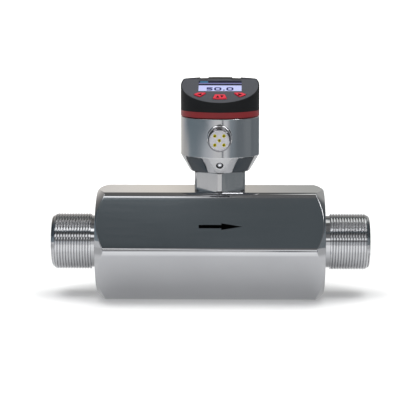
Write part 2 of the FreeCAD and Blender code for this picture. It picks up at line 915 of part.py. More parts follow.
# Key switches on the display board, one under each button's stem
def make_key_switches():
    switches = []
    for name, angle, half_angle, outer in button_rows():
        across, along = button_stem_place(angle, outer)
        body = centred_box(switch_size, switch_size, -board_depth, -board_depth + switch_height)
        plunger_bottom = -board_depth + switch_height
        plunger = cylinder(plunger_diameter / 2, plunger_bottom, plunger_bottom + plunger_height)
        switches.append(moved(body.fuse(plunger).removeSplitter(), x=across, y=along))
    return over_rotor(on_face(Part.makeCompound(switches)))


def make_parts():
    straightener = make_straightener()
    bush = make_bearing_bush()
    snap_ring = make_snap_ring()
    parts = {
        "meter_body": make_meter_body(),
        "inlet_straightener": straightener,
        "outlet_straightener": on_outlet_side(straightener),
        "inlet_snap_ring": snap_ring,
        "outlet_snap_ring": on_outlet_side(snap_ring),
        "inlet_bearing_bush": bush,
        "outlet_bearing_bush": on_outlet_side(bush),
        "rotor": make_rotor(),
        "rotor_shaft": make_rotor_shaft(),
        "pickup_probe": make_pickup_probe(),
        "pickup_seal": over_rotor(make_pickup_seal_ring()),
        "neck": make_neck(),
        "neck_seal": make_neck_seal(),
        "neck_circlip": make_neck_circlip(),
        "head_housing": make_head_housing(),
        "vent_screw": make_vent_screw(),
        "connector_shell": make_connector_shell(),
        "connector_gasket": make_connector_gasket(),
        "connector_insert": make_connector_insert(),
        "connector_contacts": make_connector_contacts(),
        "main_board": make_main_board(),
        "trim_ring": make_trim_ring(),
        "display_cap": make_display_cap(),
        "cap_seal": make_cap_seal(),
        "face_plate": make_face_plate(),
        "display_window": make_display_window(),
        "display_module": make_display_module(),
        "display_board": make_display_board(),
        "key_switches": make_key_switches(),
    }
    for name, angle, half_angle, outer in button_rows():
        parts[name] = make_button(angle, half_angle, outer)
    return parts


os.makedirs("parts", exist_ok=True)
for node, shape in make_parts().items():
    if not shape.isValid():
        raise ValueError(node + " isn't a valid shape")
    shape.exportStep("parts/" + node + ".step")
    box = shape.BoundBox
    size = "%.2f x %.2f x %.2f" % (box.XLength, box.YLength, box.ZLength)
    print("%-20s solids %d  volume %.1f  size %s" % (node, len(shape.Solids), shape.Volume, size))
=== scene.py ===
import bpy
import bmesh
import math
from mathutils import Matrix, Vector


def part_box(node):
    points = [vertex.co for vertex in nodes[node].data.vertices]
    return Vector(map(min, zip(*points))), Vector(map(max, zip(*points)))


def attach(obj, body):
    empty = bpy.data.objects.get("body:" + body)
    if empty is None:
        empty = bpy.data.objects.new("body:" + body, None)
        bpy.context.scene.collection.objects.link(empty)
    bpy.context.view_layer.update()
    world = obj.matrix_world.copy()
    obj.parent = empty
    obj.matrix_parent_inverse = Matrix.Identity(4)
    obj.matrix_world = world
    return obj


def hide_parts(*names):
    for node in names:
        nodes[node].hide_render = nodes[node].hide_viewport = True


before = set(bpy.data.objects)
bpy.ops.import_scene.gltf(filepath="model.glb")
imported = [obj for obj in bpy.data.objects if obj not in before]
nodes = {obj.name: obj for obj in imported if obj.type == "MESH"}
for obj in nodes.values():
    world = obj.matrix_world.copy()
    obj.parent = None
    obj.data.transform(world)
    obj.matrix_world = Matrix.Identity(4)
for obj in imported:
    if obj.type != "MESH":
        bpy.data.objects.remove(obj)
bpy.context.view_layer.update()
scene = bpy.context.scene
scene.view_settings.view_transform = "Standard"
mm = 0.001
print("frame loaded:", len(nodes), "nodes")


# camera, set where the photograph was taken from
cameraView = {
    "target": (-0.0004, 0.0, 0.04624),
    "distance": 0.818,
    "pitch": 9.04,       # degrees down
    "yaw": 1.0,          # degrees towards the outlet
    "lens": 129.6,
    "sensor": 36.0,
    "nearest": 0.05,
    "farthest": 50.0,
}


def addCamera(view):
    data = bpy.data.cameras.new("photoCamera")
    data.lens = view["lens"]
    data.sensor_width = view["sensor"]
    data.clip_start = view["nearest"]
    data.clip_end = view["farthest"]
    camera = bpy.data.objects.new("photoCamera", data)
    scene.collection.objects.link(camera)
    pitch = math.radians(view["pitch"])
    yaw = math.radians(view["yaw"])
    away = Vector((math.sin(yaw) * math.cos(pitch), -math.cos(yaw) * math.cos(pitch), math.sin(pitch)))
    camera.location = Vector(view["target"]) + away * view["distance"]
    camera.rotation_euler = away.to_track_quat("Z", "Y").to_euler()
    scene.camera = camera


addCamera(cameraView)
print("camera set")


# colours are given from 0 to 255, as seen on a screen
def tone(red, green, blue):
    linear = []
    for value in (red, green, blue):
        part = value / 255
        linear.append(part / 12.92 if part <= 0.04045 else ((part + 0.055) / 1.055) ** 2.4)
    return (*linear, 1.0)


# node helpers, the same for materials, the world and geometry nodes
def feed(tree, socket, value):   # links an output, or sets a plain number or colour
    if isinstance(value, bpy.types.NodeSocket):
        tree.links.new(value, socket)
    else:
        socket.default_value = value


def addNode(tree, kind, inputs, **settings):
    node = tree.nodes.new(kind)
    for name, value in settings.items():
        setattr(node, name, value)
    for name, value in inputs.items():
        feed(tree, node.inputs[name], value)
    return node


def mathNode(tree, operation, *values):
    return addNode(tree, "ShaderNodeMath", dict(enumerate(values)), operation=operation).outputs[0]


def separate(tree, vector):
    return addNode(tree, "ShaderNodeSeparateXYZ", {"Vector": vector}).outputs


def mapRange(tree, source, fromLow, fromHigh, toLow=0.0, toHigh=1.0):
    return addNode(tree, "ShaderNodeMapRange", {
        "Value": source, "From Min": fromLow, "From Max": fromHigh, "To Min": toLow, "To Max": toHigh,
    }).outputs["Result"]


def mixColours(tree, share, first, second, blend="MIX"):
    mix = addNode(
        tree, "ShaderNodeMix", {"Factor": share, "A": first, "B": second}, data_type="RGBA", blend_type=blend,
    )
    return mix.outputs["Result"]


def rampNode(tree, source, stops):   # stops are (place from 0 to 1, colour)
    ramp = addNode(tree, "ShaderNodeValToRGB", {"Fac": source})
    elements = ramp.color_ramp.elements
    while len(elements) < len(stops):
        elements.new(0.5)
    for element, (place, colour) in zip(elements, stops):
        element.position = place
        element.color = (*colour[:3], 1)
    return ramp.outputs["Color"]


# materials
def newMaterial(name):
    material = bpy.data.materials.new(name)
    material.use_nodes = True
    tree = material.node_tree
    return material, tree, tree.nodes["Principled BSDF"]


def objectNoise(tree, scale, stretch, detail):
    place = tree.nodes.new("ShaderNodeTexCoord").outputs["Object"]
    mapping = addNode(tree, "ShaderNodeMapping", {"Vector": place, "Scale": stretch})
    return addNode(tree, "ShaderNodeTexNoise", {
        "Vector": mapping.outputs["Vector"], "Scale": scale, "Detail": detail,
    }).outputs["Fac"]


# grain in the roughness and the relief, and a slightly clouded colour
grain = {
    "noiseRange": (0.3, 0.7),
    "reliefHeight": 0.05 * mm,
    "edgeSamples": 6,
    # the shares are of the finish's own colour and roughness
    "steel": {"cloudScale": 35, "detail": 3.0, "darkShare": 0.95, "roughShares": (0.8, 1.25)},
    "plastic": {"cloudScale": 60, "detail": 2.0, "darkShare": 0.93, "roughShares": (0.85, 1.15)},
}


def addGrain(tree, shader, kind, base, roughness, scale, stretch, bump):
    fine = objectNoise(tree, scale, stretch, kind["detail"])
    clouds = objectNoise(tree, kind["cloudScale"], (1, 1, 1), kind["detail"])
    darker = tone(*[value * kind["darkShare"] for value in base])
    feed(tree, shader.inputs["Base Color"], mixColours(tree, clouds, darker, tone(*base)))
    rough = mapRange(tree, fine, *grain["noiseRange"], *[roughness * share for share in kind["roughShares"]])
    feed(tree, shader.inputs["Roughness"], rough)
    relief = addNode(tree, "ShaderNodeBump", {
        "Strength": bump, "Distance": grain["reliefHeight"], "Height": fine,
    })
    feed(tree, shader.inputs["Normal"], relief.outputs["Normal"])
    return relief


def steelMaterial(name, base, roughness, stretch=(1, 1, 1), scale=900, bump=0.05, edge=0.0):
    material, tree, shader = newMaterial(name)
    shader.inputs["Metallic"].default_value = 1.0
    relief = addGrain(tree, shader, grain["steel"], base, roughness, scale, stretch, bump)
    if edge:   # the metal's edges look broken by this much
        eased = addNode(tree, "ShaderNodeBevel", {"Radius": edge}, samples=grain["edgeSamples"])
        feed(tree, relief.inputs["Normal"], eased.outputs["Normal"])
    return material


def plasticMaterial(name, base, roughness, scale=2500, bump=0.08, specular=0.5):
    material, tree, shader = newMaterial(name)
    shader.inputs["Specular IOR Level"].default_value = specular
    addGrain(tree, shader, grain["plastic"], base, roughness, scale, (1, 1, 1), bump)
    return material


def glowMaterial(name, glow, strength):
    material, tree, shader = newMaterial(name)
    for socket, value in displayCell.items():
        shader.inputs[socket].default_value = value
    shader.inputs["Emission Color"].default_value = tone(*glow)
    shader.inputs["Emission Strength"].default_value = strength
    return material


def clearMaterial(name):
    material, tree, shader = newMaterial(name)
    for socket, value in windowPane.items():
        shader.inputs[socket].default_value = value
    return material


displayCell = {"Base Color": tone(10, 10, 14), "Roughness": 0.3, "Specular IOR Level": 0.1}
windowPane = {"Base Color": tone(24, 24, 30), "Roughness": 0.06, "Specular IOR Level": 0.15, "Alpha": 0.05}
steels = {
    # a stretch below 1 draws the grain out into lines that way
    "bodySteel": {"base": (184, 185, 188), "roughness": 0.075, "stretch": (0.03, 1, 1), "bump": 0.015},
    "threadSteel": {"base": (192, 193, 196), "roughness": 0.08, "scale": 500, "bump": 0.02},
    "neckSteel": {"base": (186, 186, 187), "roughness": 0.14, "stretch": (1, 1, 0.05), "edge": 0.4 * mm},
    "headSteel": {"base": (185, 186, 188), "roughness": 0.09, "stretch": (0.4, 0.4, 1), "scale": 1200,
                  "bump": 0.04, "edge": 0.35 * mm},
    "flowSteel": {"base": (205, 205, 208), "roughness": 0.25, "scale": 700},
    "rotorSteel": {"base": (200, 200, 205), "roughness": 0.22, "scale": 700},
    "springSteel": {"base": (120, 120, 124), "roughness": 0.35, "scale": 700},
    "carbide": {"base": (110, 110, 116), "roughness": 0.3, "scale": 700},
    "connectorMetal": {"base": (206, 206, 209), "roughness": 0.08, "scale": 700, "bump": 0.02},
    # the thread is the connector's own metal painted darker: painted shade standing for the dark reflections
    # on its upper side
    "connectorThreadMetal": {"base": (120, 120, 124), "roughness": 0.12, "scale": 700, "bump": 0.02},
    "contactGold": {"base": (196, 184, 44), "roughness": 0.35, "scale": 700},
    "ventSteel": {"base": (236, 238, 242), "roughness": 0.3, "scale": 700, "bump": 0.02},
}
plastics = {
    "capBlack": {"base": (33, 34, 36), "roughness": 0.5, "specular": 0.08},
    "plateGrey": {"base": (72, 74, 80), "roughness": 0.45, "specular": 0.3},
    "ringRed": {"base": (142, 40, 44), "roughness": 0.35, "bump": 0.03, "specular": 0.3},
    "buttonRed": {"base": (215, 40, 62), "roughness": 0.35, "bump": 0.03},
    "symbolDark": {"base": (28, 8, 10), "roughness": 0.6, "specular": 0.2},
    "insertGrey": {"base": (212, 211, 216), "roughness": 0.4},
    "sealRubber": {"base": (30, 30, 31), "roughness": 0.7, "scale": 1500},
    "boardGreen": {"base": (28, 92, 58), "roughness": 0.45, "scale": 900},
    "switchBlack": {"base": (26, 26, 28), "roughness": 0.5},
    "markBlack": {"base": (3, 3, 3), "roughness": 0.8, "scale": 1800, "specular": 0.0},
}
displayGlows = {
    "displayNavy": {"glow": (42, 45, 66), "strength": 0.75},
    "displayLilac": {"glow": (205, 211, 255), "strength": 1.0},
    "displayLine": {"glow": (142, 143, 196), "strength": 1.0},
    "displayDark": {"glow": (30, 30, 48), "strength": 0.8},
    "displayBlue": {"glow": (72, 138, 178), "strength": 0.95},
    "displayInk": {"glow": (44, 44, 112), "strength": 0.8},
}
materials = {"windowClear": clearMaterial("windowClear")}
for make, finishes in ((steelMaterial, steels), (plasticMaterial, plastics), (glowMaterial, displayGlows)):
    for finishName, settings in finishes.items():
        materials[finishName] = make(finishName, **settings)
print("materials made:", len(materials))

finishOfNode = {
    "meter_body": "bodySteel",
    "inlet_straightener": "flowSteel",
    "outlet_straightener": "flowSteel",
    "inlet_snap_ring": "springSteel",
    "outlet_snap_ring": "springSteel",
    "inlet_bearing_bush": "carbide",
    "outlet_bearing_bush": "carbide",
    "pickup_probe": "flowSteel",
    "pickup_seal": "sealRubber",
    "neck": "neckSteel",
    "neck_seal": "sealRubber",
    "neck_circlip": "springSteel",
    "rotor": "rotorSteel",
    "rotor_shaft": "rotorSteel",
    "head_housing": "headSteel",
    "vent_screw": "ventSteel",
    "connector_shell": "connectorMetal",
    "connector_gasket": "sealRubber",
    "connector_insert": "insertGrey",
    "connector_contacts": "contactGold",
    "main_board": "boardGreen",
    "trim_ring": "ringRed",
    "display_cap": "capBlack",
    "cap_seal": "sealRubber",
    "face_plate": "plateGrey",
    "display_window": "windowClear",
    "display_module": "displayNavy",
    "display_board": "boardGreen",
    "key_switches": "switchBlack",
    "left_button": "buttonRed",
    "centre_button": "buttonRed",
    "right_button": "buttonRed",
}
for nodeName, finishName in finishOfNode.items():
    node = nodes[nodeName]
    node.data.materials.clear()
    node.data.materials.append(materials[finishName])


# mesh helpers
weldDistance = 1e-7
cornerShare = 0.45         # of a side, the most that its rounded corner takes
turnedSharpFrom = 35
plateThickness = 0.02 * mm


def cleanMesh(mesh):   # merges doubled points and turns the faces outwards
    work = bmesh.new()
    work.from_mesh(mesh)
    bmesh.ops.remove_doubles(work, verts=work.verts, dist=weldDistance)
    bmesh.ops.recalc_face_normals(work, faces=work.faces)
    work.to_mesh(mesh)
    work.free()


def shade(mesh, smooth, sharpFrom=None):   # an edge is sharp from this many degrees
    for polygon in mesh.polygons:
        polygon.use_smooth = smooth
    if sharpFrom:
        mesh.set_sharp_from_angle(angle=math.radians(sharpFrom))


def meshObject(name, vertices, faces, material, smooth=True, place=Matrix()):
    mesh = bpy.data.meshes.new(name)
    mesh.from_pydata([tuple(vertex) for vertex in vertices], [], faces)
    mesh.validate()
    mesh.materials.append(material)
    cleanMesh(mesh)
    shade(mesh, smooth)
    mesh.transform(place)
    piece = bpy.data.objects.new(name, mesh)
    scene.collection.objects.link(piece)
    return piece


def wrappedFaces(columns, rows):   # a skin closed both ways, with its points in columns
    faces = []
    for column in range(columns):
        following = (column + 1) % columns
        for row in range(rows):
            beyond = (row + 1) % rows
            faces.append((
                column * rows + row, column * rows + beyond,
                following * rows + beyond, following * rows + row,
            ))
    return faces


def turnedPiece(name, outline, material, place, steps=96):   # outline is a closed line of (out, along) points
    vertices = []
    for step in range(steps):
        angle = 2 * math.pi * step / steps
        vertices += [(out * math.cos(angle), out * math.sin(angle), along) for out, along in outline]
    piece = meshObject(name, vertices, wrappedFaces(steps, len(outline)), material, place=place)
    shade(piece.data, True, turnedSharpFrom)
    return piece


def prism(name, outline, low, high, material, place):
    vertices = [(x, y, z) for z in (low, high) for x, y in outline]
    count = len(outline)
    faces = [tuple(reversed(range(count))), tuple(range(count, 2 * count))]
    for index in range(count):
        after = (index + 1) % count
        faces.append((index, after, count + after, count + index))
    return meshObject(name, vertices, faces, material, smooth=False, place=place)


def thinPlate(name, outline, height, material, place):   # for marks and for what the display shows
    return prism(name, outline, height, height + plateThickness, material, place)


def rectangle(left, right, low, high):
    return [(left, low), (right, low), (right, high), (left, high)]


def applyModifiers(piece):
    depsgraph = bpy.context.evaluated_depsgraph_get()
    mesh = bpy.data.meshes.new_from_object(piece.evaluated_get(depsgraph))
    piece.modifiers.clear()
    piece.data = mesh


def weightNormals(piece):
    modifier = piece.modifiers.new("weightedNormals", "WEIGHTED_NORMAL")
    modifier.keep_sharp = True
    applyModifiers(piece)


def softenCorners(points, radius, steps=3):   # rounds the corners of an open line of (along, out) points
    softened = [points[0]]
    for before, corner, after in zip(points, points[1:], points[2:]):
        towardsBefore = Vector(before) - Vector(corner)
        towardsAfter = Vector(after) - Vector(corner)
        reach = min(radius, towardsBefore.length * cornerShare, towardsAfter.length * cornerShare)
        start = Vector(corner) + towardsBefore.normalized() * reach
        end = Vector(corner) + towardsAfter.normalized() * reach
        for step in range(steps + 1):
            share = step / steps
            first = start.lerp(Vector(corner), share)
            second = Vector(corner).lerp(end, share)
            softened.append(tuple(first.lerp(second, share)))
    softened.append(points[-1])
    return softened


# body bar: one skin that follows the rounded hexagon outside and the flow passage inside
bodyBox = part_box("meter_body")
hexTurn = math.radians(60)
angleSlack = 1e-9
meterBody = {
    "acrossFlats": bodyBox[1][2] - bodyBox[0][2],
    "totalLength": bodyBox[1][0] - bodyBox[0][0],
    "hexLength": 121.8 * mm,
    "edgeRadius": 4.6 * mm,
    "endFaceInset": 1.0 * mm,
    "reliefRadius": 14.0 * mm,
    "reliefLength": 3.3 * mm,
    "rootRadius": 14.33 * mm,
    "mouthRadius": 13.3 * mm,
    "mouthRun": 1.65 * mm,
    "boreRadius": 11.0 * mm,
    "boreChamfer": 0.8 * mm,
    "softEdge": 0.35 * mm,
    "flatSteps": 18,
    "edgeSteps": 8,
}
headX = (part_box("trim_ring")[0][0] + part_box("trim_ring")[1][0]) / 2
flowHeight = meterBody["acrossFlats"] / 2


def flatEnd(sizes):   # how far out the roundings' centres lie, and the angle at which a flat ends
    inner = sizes["acrossFlats"] / 2 - sizes["edgeRadius"]
    return inner, math.atan2(inner * math.tan(hexTurn / 2), sizes["acrossFlats"] / 2)


def hexagonRadius(angle, sizes):   # angle from the middle of a flat
    offset = (angle + hexTurn / 2) % hexTurn - hexTurn / 2
    inner, flatAngle = flatEnd(sizes)
    if abs(offset) <= flatAngle + angleSlack:
        return sizes["acrossFlats"] / 2 / math.cos(offset)
    centre = inner / math.cos(hexTurn / 2)
    swing = hexTurn / 2 - abs(offset)
    return centre * math.cos(swing) + math.sqrt(sizes["edgeRadius"] ** 2 - (centre * math.sin(swing)) ** 2)


def hexagonAngles(sizes):
    flatAngle = flatEnd(sizes)[1]
    angles = []
    for side in range(6):
        for step in range(sizes["flatSteps"]):
            angles.append(side * hexTurn - flatAngle + 2 * flatAngle * step / sizes["flatSteps"])
        for step in range(sizes["edgeSteps"]):
            angles.append(side * hexTurn + flatAngle + (hexTurn - 2 * flatAngle) * step / sizes["edgeSteps"])
    return angles


def bodyOutline(radius, sizes):   # (x, distance from the axis) of one half-section, inlet to outlet mouth
    half = sizes["totalLength"] / 2
    hexHalf = sizes["hexLength"] / 2
    faceRadius = sizes["acrossFlats"] / 2 - sizes["endFaceInset"]
    cone = radius - faceRadius
    reliefEnd = hexHalf + sizes["reliefLength"]
    side = [
        (half - sizes["boreChamfer"], sizes["boreRadius"]),
        (half, sizes["boreRadius"] + sizes["boreChamfer"]),
        (half, sizes["mouthRadius"]),
        (half - sizes["mouthRun"], sizes["rootRadius"]),
        (reliefEnd, sizes["rootRadius"]),
        (reliefEnd, sizes["reliefRadius"]),
        (hexHalf, sizes["reliefRadius"]),
        (hexHalf, faceRadius),
        (hexHalf - cone, radius),
    ]
    line = [(-x, out) for x, out in side]
    line += [(x, out) for x, out in reversed(side)]
    return softenCorners(line, sizes["softEdge"])


def passageOutline(sizes):   # back from the outlet mouth to the inlet mouth through the bore
    half = sizes["totalLength"] / 2 - sizes["boreChamfer"]
    bore = sizes["boreRadius"]
    return [(half * share, bore) for share in (0.75, 0.5, 0.25, 0, -0.25, -0.5, -0.75)]


def makeMeterBody(sizes):
    vertices = []
    columns = hexagonAngles(sizes)
    for angle in columns:
        line = bodyOutline(hexagonRadius(angle, sizes), sizes) + passageOutline(sizes)
        for x, out in line:
            vertices.append((x, out * math.sin(angle), flowHeight + out * math.cos(angle)))
    piece = meshObject("bodyBar", vertices, wrappedFaces(len(columns), len(line)), materials["bodySteel"])
    weightNormals(piece)
    return piece


# threads: a rounded ridge carried along a helix, with its crest cut back on the chamfer
threadRidge = {
    "stepsPerTurn": 72,
    "footWidth": 0.98,      # of the pitch
    "crestWidth": 0.6,      # of the pitch
    "footDepth": 1.15,      # of the thread's depth, so that the foot is buried
    "endSize": 0.02,        # of the full ridge, at its two ends
    "roundingSteps": 3,
    "sharpFrom": 50,
}


def buildThreadTree(shape):
    tree = bpy.data.node_groups.new("threadRidge", "GeometryNodeTree")
    names = ["rootRadius", "crestRadius", "pitch", "length", "chamferLength", "chamferDepth", "rounding"]
    kinds = {**{name: "NodeSocketFloat" for name in names}, "material": "NodeSocketMaterial"}
    sockets = {}
    for name, kind in kinds.items():
        sockets[name] = tree.interface.new_socket(name=name, in_out="INPUT", socket_type=kind)
    tree.interface.new_socket(name="mesh", in_out="OUTPUT", socket_type="NodeSocketGeometry")
    given = tree.nodes.new("NodeGroupInput").outputs

    def calc(operation, *values):
        return mathNode(tree, operation, *values)

    def shaped(kind, inputs, **settings):
        return addNode(tree, kind, inputs, **settings).outputs[0]

    turns = calc("DIVIDE", given["length"], given["pitch"])
    path = shaped("GeometryNodeCurveSpiral", {
        "Resolution": shape["stepsPerTurn"], "Rotations": turns, "Height": given["length"],
        "Start Radius": given["rootRadius"], "End Radius": given["rootRadius"],
    })
    path = shaped("GeometryNodeSetCurveNormal", {"Curve": path}, mode="Z_UP")
    fromStart = calc("MULTIPLY", shaped("GeometryNodeSplineParameter", {}), turns)
    nearest = calc("MINIMUM", fromStart, calc("SUBTRACT", turns, fromStart))
    taper = calc("MINIMUM", calc("ADD", nearest, shape["endSize"]), 1.0)
    path = shaped("GeometryNodeSetCurveRadius", {"Curve": path, "Radius": taper})

    depth = calc("SUBTRACT", given["crestRadius"], given["rootRadius"])
    tall = calc("MULTIPLY", depth, shape["footDepth"])
    profile = shaped("GeometryNodeCurvePrimitiveQuadrilateral", {
        "Bottom Width": calc("MULTIPLY", given["pitch"], shape["footWidth"]),
        "Top Width": calc("MULTIPLY", given["pitch"], shape["crestWidth"]),
        "Height": tall,
        "Offset": 0.0,
    }, mode="TRAPEZOID")
    lift = shaped("ShaderNodeCombineXYZ", {"Y": calc("SUBTRACT", depth, calc("MULTIPLY", tall, 0.5))})
    profile = shaped("GeometryNodeTransform", {"Geometry": profile, "Translation": lift})
    profile = shaped("GeometryNodeTransform", {"Geometry": profile, "Rotation": (0, 0, math.radians(90))})
    profile = shaped("GeometryNodeFilletCurve", {
        "Curve": profile, "Radius": given["rounding"], "Count": shape["roundingSteps"], "Limit Radius": True,
    }, mode="POLY")
    ridge = shaped("GeometryNodeCurveToMesh", {"Curve": path, "Profile Curve": profile, "Fill Caps": True})

    x, y, along = separate(tree, shaped("GeometryNodeInputPosition", {}))
    out = calc("SQRT", calc("ADD", calc("POWER", x, 2), calc("POWER", y, 2)))
    past = calc("SUBTRACT", along, calc("SUBTRACT", given["length"], given["chamferLength"]))
    slope = calc("DIVIDE", given["chamferDepth"], given["chamferLength"])
    limit = calc("SUBTRACT", given["crestRadius"], calc("MULTIPLY", calc("MAXIMUM", past, 0.0), slope))
    share = calc("DIVIDE", calc("MINIMUM", out, limit), out)
    kept = shaped("ShaderNodeCombineXYZ", {
        "X": calc("MULTIPLY", x, share),
        "Y": calc("MULTIPLY", y, share),
        "Z": calc("MINIMUM", calc("MAXIMUM", along, 0.0), given["length"]),
    })
    ridge = shaped("GeometryNodeSetPosition", {"Geometry": ridge, "Position": kept})
    ridge = shaped("GeometryNodeRealizeInstances", {"Geometry": ridge})
    ridge = shaped("GeometryNodeSetMaterial", {"Geometry": ridge, "Material": given["material"]})
    tree.links.new(ridge, tree.nodes.new("NodeGroupOutput").inputs["mesh"])
    return tree, sockets


threadTree, threadSockets = buildThreadTree(threadRidge)


def makeThread(name, sizes, material, place):   # place turns the thread's own Z along the pin
    piece = bpy.data.objects.new(name, bpy.data.meshes.new(name))
    scene.collection.objects.link(piece)
    modifier = piece.modifiers.new("thread", "NODES")
    modifier.node_group = threadTree
    for key, value in {**sizes, "material": material}.items():
        modifier[threadSockets[key].identifier] = value
    piece.update_tag()
    applyModifiers(piece)
    piece.data.transform(place)
    cleanMesh(piece.data)
    shade(piece.data, True, threadRidge["sharpFrom"])
    return piece


stubThread = {
    "rootRadius": 14.3 * mm,
    "crestRadius": 15.0 * mm,
    "pitch": 1.5 * mm,
    "length": 21.3 * mm,
    "chamferLength": 2.4 * mm,
    "chamferDepth": 1.5 * mm,
    "rounding": 0.22 * mm,
}
bodyBar = makeMeterBody(meterBody)
threadStart = meterBody["hexLength"] / 2 + meterBody["reliefLength"]
outletTurn = Matrix.Rotation(math.radians(90), 4, "Y")
inletTurn = Matrix.Rotation(math.radians(-90), 4, "Y")
stubPlaces = {
    "outletThread": Matrix.Translation((threadStart, 0, flowHeight)) @ outletTurn,
    "inletThread": Matrix.Translation((-threadStart, 0, flowHeight)) @ inletTurn,
}
for threadName, place in stubPlaces.items():
    thread = makeThread(threadName, stubThread, materials["threadSteel"], place)
    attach(thread, "root")
    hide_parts("meter_body")
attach(bodyBar, "root")
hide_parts("meter_body")
print("body and stub threads made")


# slanted face of the head: its own X runs across, Y up the slope, Z out of it
slantedFace = {
    "tilt": 20.7,
    "frontAboveRing": 5.0 * mm,
    "windowWidth": 23.0 * mm,
    "windowHeight": 13.0 * mm,
    "windowLow": 14.9 * mm,
    "cellDepth": 0.30 * mm,
}
headRadius = (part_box("trim_ring")[1][0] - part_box("trim_ring")[0][0]) / 2
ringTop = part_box("trim_ring")[1][2]
facePlace = (
    Matrix.Translation((headX, -headRadius, ringTop + slantedFace["frontAboveRing"]))
    @ Matrix.Rotation(math.radians(slantedFace["tilt"]), 4, "X")
)
displayContent = {
    "edge": 0.05 * mm,
    "layer": 0.02 * mm,
    # from the top down, the bright field takes the rest
    "bands": [
        ("displayTopBand", "displayNavy", 2.3 * mm),
        ("displayThinLine", "displayLine", 0.95 * mm),
        ("displayDarkLine", "displayDark", 2.1 * mm),
    ],
    "barLeft": 0.75 * mm,
    "barWidth": 4.2 * mm,
    "barHeight": 1.4 * mm,
    "barDrop": 0.35 * mm,
    "digitHeight": 3.9 * mm,
    "digitLow": 1.2 * mm,
    "uprightStroke": 0.95 * mm,
    "levelStroke": 1.05 * mm,
    "waistRise": 0.15,      # of the level stroke, above a digit's middle
    # symbol, its left edge and its width
    "digits": [
        ("5", -7.1 * mm, 3.1 * mm), ("0", -3.1 * mm, 3.8 * mm),
        (".", 1.6 * mm, 0.9 * mm), ("0", 3.4 * mm, 3.7 * mm),
    ],
}


def digitOutlines(symbol, left, low, width, sizes):   # overlapping bars of one digit
    right = left + width
    high = low + sizes["digitHeight"]
    upright = sizes["uprightStroke"]
    level = sizes["levelStroke"]
    middle = (low + high) / 2 + level * sizes["waistRise"]
    if symbol == "5":
        return [
            rectangle(left, right, high - level, high),
            rectangle(left, left + upright, middle - level / 2, high),
            rectangle(left, right - upright / 2, middle - level / 2, middle + level / 2),
            rectangle(right - upright, right, low + level / 2, middle),
            rectangle(left, right - upright / 2, low, low + level),
        ]
    if symbol == "0":
        return [
            rectangle(left + upright / 2, right - upright / 2, high - level, high),
            rectangle(left + upright / 2, right - upright / 2, low, low + level),
            rectangle(left, left + upright, low + level / 2, high - level / 2),
            rectangle(right - upright, right, low + level / 2, high - level / 2),
        ]
    return [rectangle(left, right, low, low + level)]


def makeDisplay(sizes, face):
    half = face["windowWidth"] / 2 - sizes["edge"]
    low = face["windowLow"] + sizes["edge"]
    high = face["windowLow"] + face["windowHeight"] - sizes["edge"]
    areas = []
    top = high
    for name, finish, height in sizes["bands"]:
        areas.append((name, rectangle(-half, half, top - height, top), finish, 0))
        top -= height
    areas.append(("displayBright", rectangle(-half, half, low, top), "displayLilac", 0))
    barLeft = -half + sizes["barLeft"]
    barHigh = high - sizes["barDrop"]
    bar = rectangle(barLeft, barLeft + sizes["barWidth"], barHigh - sizes["barHeight"], barHigh)
    areas.append(("displayBlueBar", bar, "displayBlue", 1))
    digitLow = low + sizes["digitLow"]
    for place, (symbol, left, width) in enumerate(sizes["digits"]):
        for part, outline in enumerate(digitOutlines(symbol, left, digitLow, width, sizes)):
            areas.append(("displayDigit%d_%d" % (place, part), outline, "displayInk", 1))
    for name, outline, finish, layer in areas:
        height = layer * sizes["layer"] - face["cellDepth"]
        piece = thinPlate(name, outline, height, materials[finish], facePlace)
        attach(piece, "display")


makeDisplay(displayContent, slantedFace)
print("display drawn")


# plain marks on the three keys, on the slanted face: body, middle of the mark and its outlines
keyMarks = {
    "height": 0.5 * mm,
    "marks": [
        ("leftKeyMark", "left_key", (-10.6, 9.6), [[(-1.3, 0.0), (0.9, -1.5), (0.9, 1.5)]]),
        ("centreKeyMark", "centre_key", (0.0, 7.1), [
            [(-2.0, -1.4), (-0.2, -1.4), (-1.1, 1.4)], [(0.2, 1.4), (1.1, -1.4), (2.0, 1.4)],
        ]),
        ("rightKeyMark", "right_key", (10.6, 9.6), [[(1.3, 0.0), (-0.9, 1.5), (-0.9, -1.5)]]),
    ],
}


def makeKeyMarks(sizes):
    for name, body, middle, outlines in sizes["marks"]:
        for part, outline in enumerate(outlines):
            points = [((middle[0] + x) * mm, (middle[1] + y) * mm) for x, y in outline]
            markName = "%s%d" % (name, part)
            piece = thinPlate(markName, points, sizes["height"], materials["symbolDark"], facePlace)
            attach(piece, body)


makeKeyMarks(keyMarks)
print("key marks drawn")


# connector: a turned barrel with its flange, and the thread round it
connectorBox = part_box("connector_shell")
connectorShell = {
    "boreRadius": 5.1 * mm,
    "shankRadius": 6.0 * mm,
    "rootRadius": 5.42 * mm,
    "mouthRadius": 5.3 * mm,
    "mouthRun": 0.3 * mm,
    "reach": 12.0 * mm,
    "flangeThickness": 1.1 * mm,
    "flangeEdge": 0.5 * mm,
    "softEdge": 0.12 * mm,
    "neckLength": 1.0 * mm,
}
connectorThread = {
    "rootRadius": 5.4 * mm,
    "crestRadius": 6.0 * mm,
    "pitch": 1.0 * mm,
    "length": 11.0 * mm,
    "chamferLength": 0.6 * mm,
    "chamferDepth": 0.55 * mm,
    "rounding": 0.15 * mm,
}
outOfFront = (
    Matrix.Translation((headX, 0, (connectorBox[0][2] + connectorBox[1][2]) / 2))
    @ Matrix.Rotation(math.radians(90), 4, "X")
)


